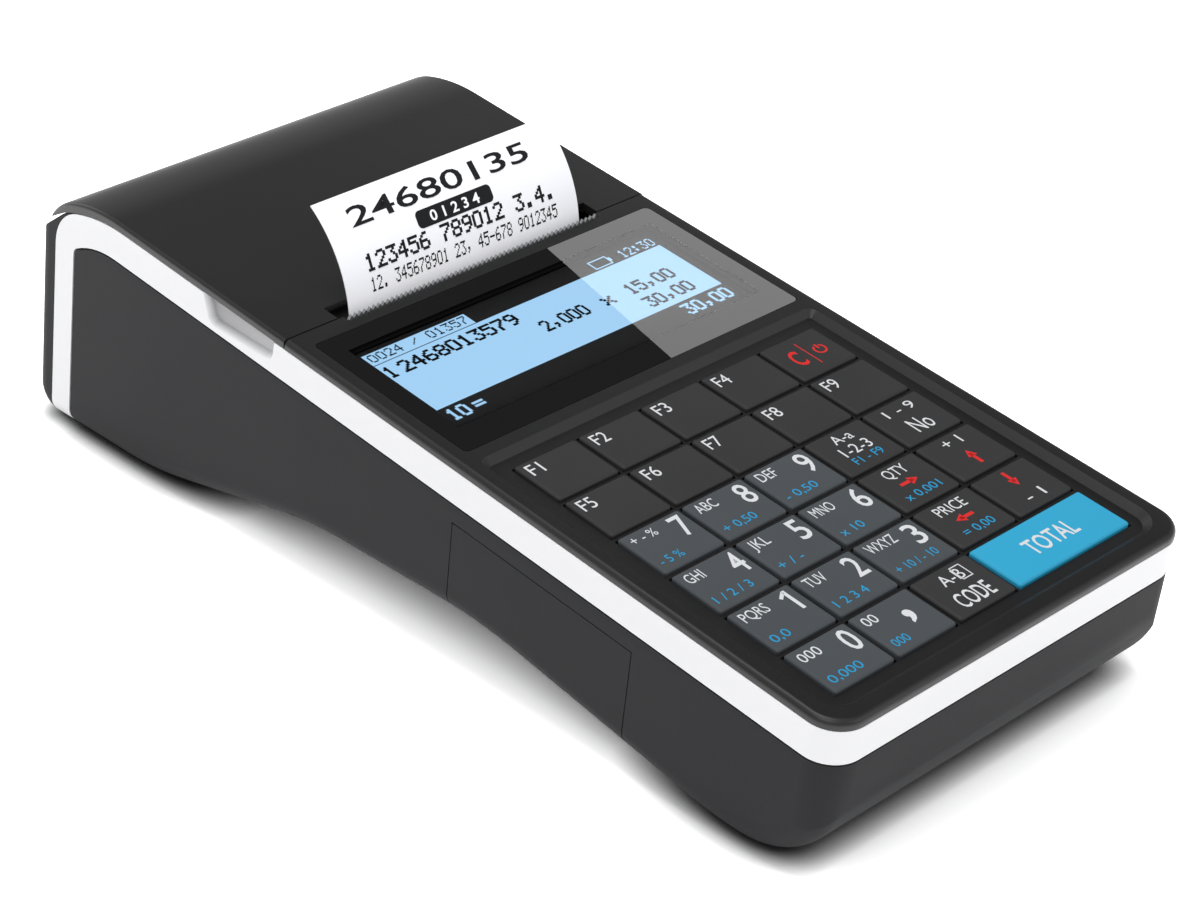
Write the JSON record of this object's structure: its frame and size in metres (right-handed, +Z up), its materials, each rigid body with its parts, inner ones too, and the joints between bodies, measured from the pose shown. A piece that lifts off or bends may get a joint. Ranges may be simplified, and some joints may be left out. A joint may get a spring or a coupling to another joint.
{
  "type": "ticket register",
  "caption": "Portable ticket register: sloping deck with keypad and display, printer under a hinged lid, pale trim band, arched underside with a battery door.",
  "frame": {"origin": "on the table, under the middle of the register's width and length", "axes": "+Z up, +X to the right of the person at the keys, +Y from the keypad towards the printer"},
  "size_m": [0.089, 0.2145, 0.0652],
  "materials": {
    "casing_dark": "fine matte texture, dark grey",
    "deck_black": "satin moulded black",
    "band_white": "satin moulded white",
    "key_dark": "satin dark grey",
    "key_grey": "satin mid grey",
    "key_blue": "satin light blue",
    "window_tint": "smoked clear window, polished",
    "display_panel": "lit liquid crystal panel",
    "mat_silicone": "translucent silicone",
    "board_green": "solder mask",
    "battery_wrap": "shrink wrap",
    "liner_black": "plain moulded black",
    "bucket_grey": "plain moulded grey",
    "platen_rubber": "ground rubber",
    "foot_rubber": "soft rubber",
    "gear_white": "acetal",
    "bronze": "sintered, fine",
    "steel": "bright steel",
    "heat_sink": "extruded, bead blasted",
    "motor_can": "plated can",
    "paper": "smooth thermal paper",
    "core_board": "spiral wound board",
    "socket_black": "moulded black",
    "legend_white": "printed white ink on the keys",
    "legend_red": "printed red ink on the keys",
    "legend_blue": "printed light blue ink on the keys",
    "display_ink": "dark liquid crystal segments",
    "display_light": "lit liquid crystal segments",
    "ticket_ink": "thermal print"
  },
  "bodies": {
    "casing": {"lower_casing": "casing_dark", "upper_shell": "deck_black", "trim_band": "band_white", "battery_pack": "battery_wrap", "display_window": "window_tint", "lcd_module": "display_panel", "keypad_mat": "mat_silicone", "main_board": "board_green", "printer_frame": "liner_black", "print_head": "heat_sink", "head_springs": "steel", "tear_bar": "steel", "feed_motor": "motor_can", "paper_web": "paper", "roll_bucket": "bucket_grey", "hinge_pins": "steel", "rubber_feet": "foot_rubber", "casing_screws": "steel", "rear_sockets": "socket_black"},
    "lid": {"paper_lid": "deck_black", "platen_carrier": "liner_black", "platen_bearings": "bronze", "paper_strip": "paper"},
    "platen": {"platen_roller": "platen_rubber", "platen_shaft": "steel", "platen_gear": "gear_white"},
    "idler": {"idler_gear": "gear_white"},
    "pinion": {"motor_pinion": "bronze"},
    "roll": {"paper_roll": "paper", "roll_core": "core_board"},
    "door": {"battery_door": "casing_dark"},
    "key_f1": {"key_f1": "key_dark"},
    "key_f2": {"key_f2": "key_dark"},
    "key_f3": {"key_f3": "key_dark"},
    "key_f4": {"key_f4": "key_dark"},
    "key_clear": {"key_clear": "key_dark"},
    "key_f5": {"key_f5": "key_dark"},
    "key_f6": {"key_f6": "key_dark"},
    "key_f7": {"key_f7": "key_dark"},
    "key_f8": {"key_f8": "key_dark"},
    "key_f9": {"key_f9": "key_dark"},
    "key_7": {"key_7": "key_grey"},
    "key_8": {"key_8": "key_grey"},
    "key_9": {"key_9": "key_grey"},
    "key_shift": {"key_shift": "key_dark"},
    "key_id": {"key_id": "key_dark"},
    "key_4": {"key_4": "key_grey"},
    "key_5": {"key_5": "key_grey"},
    "key_6": {"key_6": "key_grey"},
    "key_quantity": {"key_quantity": "key_dark"},
    "key_up": {"key_up": "key_dark"},
    "key_1": {"key_1": "key_grey"},
    "key_2": {"key_2": "key_grey"},
    "key_3": {"key_3": "key_grey"},
    "key_price": {"key_price": "key_dark"},
    "key_down": {"key_down": "key_dark"},
    "key_0": {"key_0": "key_grey"},
    "key_comma": {"key_comma": "key_grey"},
    "key_code": {"key_code": "key_dark"},
    "key_total": {"key_total": "key_blue"}
  },
  "joints": [
    {"name": "lid_hinge", "type": "hinge", "parent": "casing", "child": "lid", "pos_m": [0, 0.09699, 0.04561], "axis": [-1, 0, 0], "range_deg": [0, 95]},
    {"name": "roll_spin", "type": "hinge", "parent": "casing", "child": "roll", "pos_m": [0, 0.06506, 0.02546], "axis": [1, 0, 0], "continuous": true},
    {"name": "platen_spin", "type": "hinge", "parent": "lid", "child": "platen", "pos_m": [0, 0.03266, 0.04039], "axis": [1, 0, 0], "continuous": true},
    {"name": "idler_spin", "type": "hinge", "parent": "casing", "child": "idler", "pos_m": [0.0384, 0.03353, 0.02935], "axis": [1, 0, 0], "continuous": true},
    {"name": "pinion_spin", "type": "hinge", "parent": "casing", "child": "pinion", "pos_m": [0.0384, 0.02673, 0.02333], "axis": [1, 0, 0], "continuous": true},
    {"name": "battery_door_slide", "type": "slide", "parent": "casing", "child": "door", "axis": [0, 0.1132, -0.9936], "range_m": [0, 0.02]},
    {"name": "key_f1_press", "type": "slide", "parent": "casing", "child": "key_f1", "axis": [0, 0.1132, -0.9936], "range_m": [0, 0.001], "stiffness_N_per_m": 400, "springref_m": -0.0005},
    {"name": "key_f2_press", "type": "slide", "parent": "casing", "child": "key_f2", "axis": [0, 0.1132, -0.9936], "range_m": [0, 0.001], "stiffness_N_per_m": 400, "springref_m": -0.0005},
    {"name": "key_f3_press", "type": "slide", "parent": "casing", "child": "key_f3", "axis": [0, 0.1132, -0.9936], "range_m": [0, 0.001], "stiffness_N_per_m": 400, "springref_m": -0.0005},
    {"name": "key_f4_press", "type": "slide", "parent": "casing", "child": "key_f4", "axis": [0, 0.1132, -0.9936], "range_m": [0, 0.001], "stiffness_N_per_m": 400, "springref_m": -0.0005},
    {"name": "key_clear_press", "type": "slide", "parent": "casing", "child": "key_clear", "axis": [0, 0.1132, -0.9936], "range_m": [0, 0.001], "stiffness_N_per_m": 400, "springref_m": -0.0005},
    {"name": "key_f5_press", "type": "slide", "parent": "casing", "child": "key_f5", "axis": [0, 0.1132, -0.9936], "range_m": [0, 0.001], "stiffness_N_per_m": 400, "springref_m": -0.0005},
    {"name": "key_f6_press", "type": "slide", "parent": "casing", "child": "key_f6", "axis": [0, 0.1132, -0.9936], "range_m": [0, 0.001], "stiffness_N_per_m": 400, "springref_m": -0.0005},
    {"name": "key_f7_press", "type": "slide", "parent": "casing", "child": "key_f7", "axis": [0, 0.1132, -0.9936], "range_m": [0, 0.001], "stiffness_N_per_m": 400, "springref_m": -0.0005},
    {"name": "key_f8_press", "type": "slide", "parent": "casing", "child": "key_f8", "axis": [0, 0.1132, -0.9936], "range_m": [0, 0.001], "stiffness_N_per_m": 400, "springref_m": -0.0005},
    {"name": "key_f9_press", "type": "slide", "parent": "casing", "child": "key_f9", "axis": [0, 0.1132, -0.9936], "range_m": [0, 0.001], "stiffness_N_per_m": 400, "springref_m": -0.0005},
    {"name": "key_7_press", "type": "slide", "parent": "casing", "child": "key_7", "axis": [0, 0.1132, -0.9936], "range_m": [0, 0.001], "stiffness_N_per_m": 400, "springref_m": -0.0005},
    {"name": "key_8_press", "type": "slide", "parent": "casing", "child": "key_8", "axis": [0, 0.1132, -0.9936], "range_m": [0, 0.001], "stiffness_N_per_m": 400, "springref_m": -0.0005},
    {"name": "key_9_press", "type": "slide", "parent": "casing", "child": "key_9", "axis": [0, 0.1132, -0.9936], "range_m": [0, 0.001], "stiffness_N_per_m": 400, "springref_m": -0.0005},
    {"name": "key_shift_press", "type": "slide", "parent": "casing", "child": "key_shift", "axis": [0, 0.1132, -0.9936], "range_m": [0, 0.001], "stiffness_N_per_m": 400, "springref_m": -0.0005},
    {"name": "key_id_press", "type": "slide", "parent": "casing", "child": "key_id", "axis": [0, 0.1132, -0.9936], "range_m": [0, 0.001], "stiffness_N_per_m": 400, "springref_m": -0.0005},
    {"name": "key_4_press", "type": "slide", "parent": "casing", "child": "key_4", "axis": [0, 0.1132, -0.9936], "range_m": [0, 0.001], "stiffness_N_per_m": 400, "springref_m": -0.0005},
    {"name": "key_5_press", "type": "slide", "parent": "casing", "child": "key_5", "axis": [0, 0.1132, -0.9936], "range_m": [0, 0.001], "stiffness_N_per_m": 400, "springref_m": -0.0005, "deforming": ["keypad_mat"]},
    {"name": "key_6_press", "type": "slide", "parent": "casing", "child": "key_6", "axis": [0, 0.1132, -0.9936], "range_m": [0, 0.001], "stiffness_N_per_m": 400, "springref_m": -0.0005},
    {"name": "key_quantity_press", "type": "slide", "parent": "casing", "child": "key_quantity", "axis": [0, 0.1132, -0.9936], "range_m": [0, 0.001], "stiffness_N_per_m": 400, "springref_m": -0.0005},
    {"name": "key_up_press", "type": "slide", "parent": "casing", "child": "key_up", "axis": [0, 0.1132, -0.9936], "range_m": [0, 0.001], "stiffness_N_per_m": 400, "springref_m": -0.0005},
    {"name": "key_1_press", "type": "slide", "parent": "casing", "child": "key_1", "axis": [0, 0.1132, -0.9936], "range_m": [0, 0.001], "stiffness_N_per_m": 400, "springref_m": -0.0005},
    {"name": "key_2_press", "type": "slide", "parent": "casing", "child": "key_2", "axis": [0, 0.1132, -0.9936], "range_m": [0, 0.001], "stiffness_N_per_m": 400, "springref_m": -0.0005},
    {"name": "key_3_press", "type": "slide", "parent": "casing", "child": "key_3", "axis": [0, 0.1132, -0.9936], "range_m": [0, 0.001], "stiffness_N_per_m": 400, "springref_m": -0.0005},
    {"name": "key_price_press", "type": "slide", "parent": "casing", "child": "key_price", "axis": [0, 0.1132, -0.9936], "range_m": [0, 0.001], "stiffness_N_per_m": 400, "springref_m": -0.0005},
    {"name": "key_down_press", "type": "slide", "parent": "casing", "child": "key_down", "axis": [0, 0.1132, -0.9936], "range_m": [0, 0.001], "stiffness_N_per_m": 400, "springref_m": -0.0005},
    {"name": "key_0_press", "type": "slide", "parent": "casing", "child": "key_0", "axis": [0, 0.1132, -0.9936], "range_m": [0, 0.001], "stiffness_N_per_m": 400, "springref_m": -0.0005},
    {"name": "key_comma_press", "type": "slide", "parent": "casing", "child": "key_comma", "axis": [0, 0.1132, -0.9936], "range_m": [0, 0.001], "stiffness_N_per_m": 400, "springref_m": -0.0005},
    {"name": "key_code_press", "type": "slide", "parent": "casing", "child": "key_code", "axis": [0, 0.1132, -0.9936], "range_m": [0, 0.001], "stiffness_N_per_m": 400, "springref_m": -0.0005},
    {"name": "key_total_press", "type": "slide", "parent": "casing", "child": "key_total", "axis": [0, 0.1132, -0.9936], "range_m": [0, 0.001], "stiffness_N_per_m": 400, "springref_m": -0.0005}
  ],
  "couplings": [
    {"joint": "platen_spin", "follows": "roll_spin", "ratio": 4},
    {"joint": "idler_spin", "follows": "roll_spin", "ratio": -3.3333},
    {"joint": "pinion_spin", "follows": "roll_spin", "ratio": 6.6667}
  ]
}
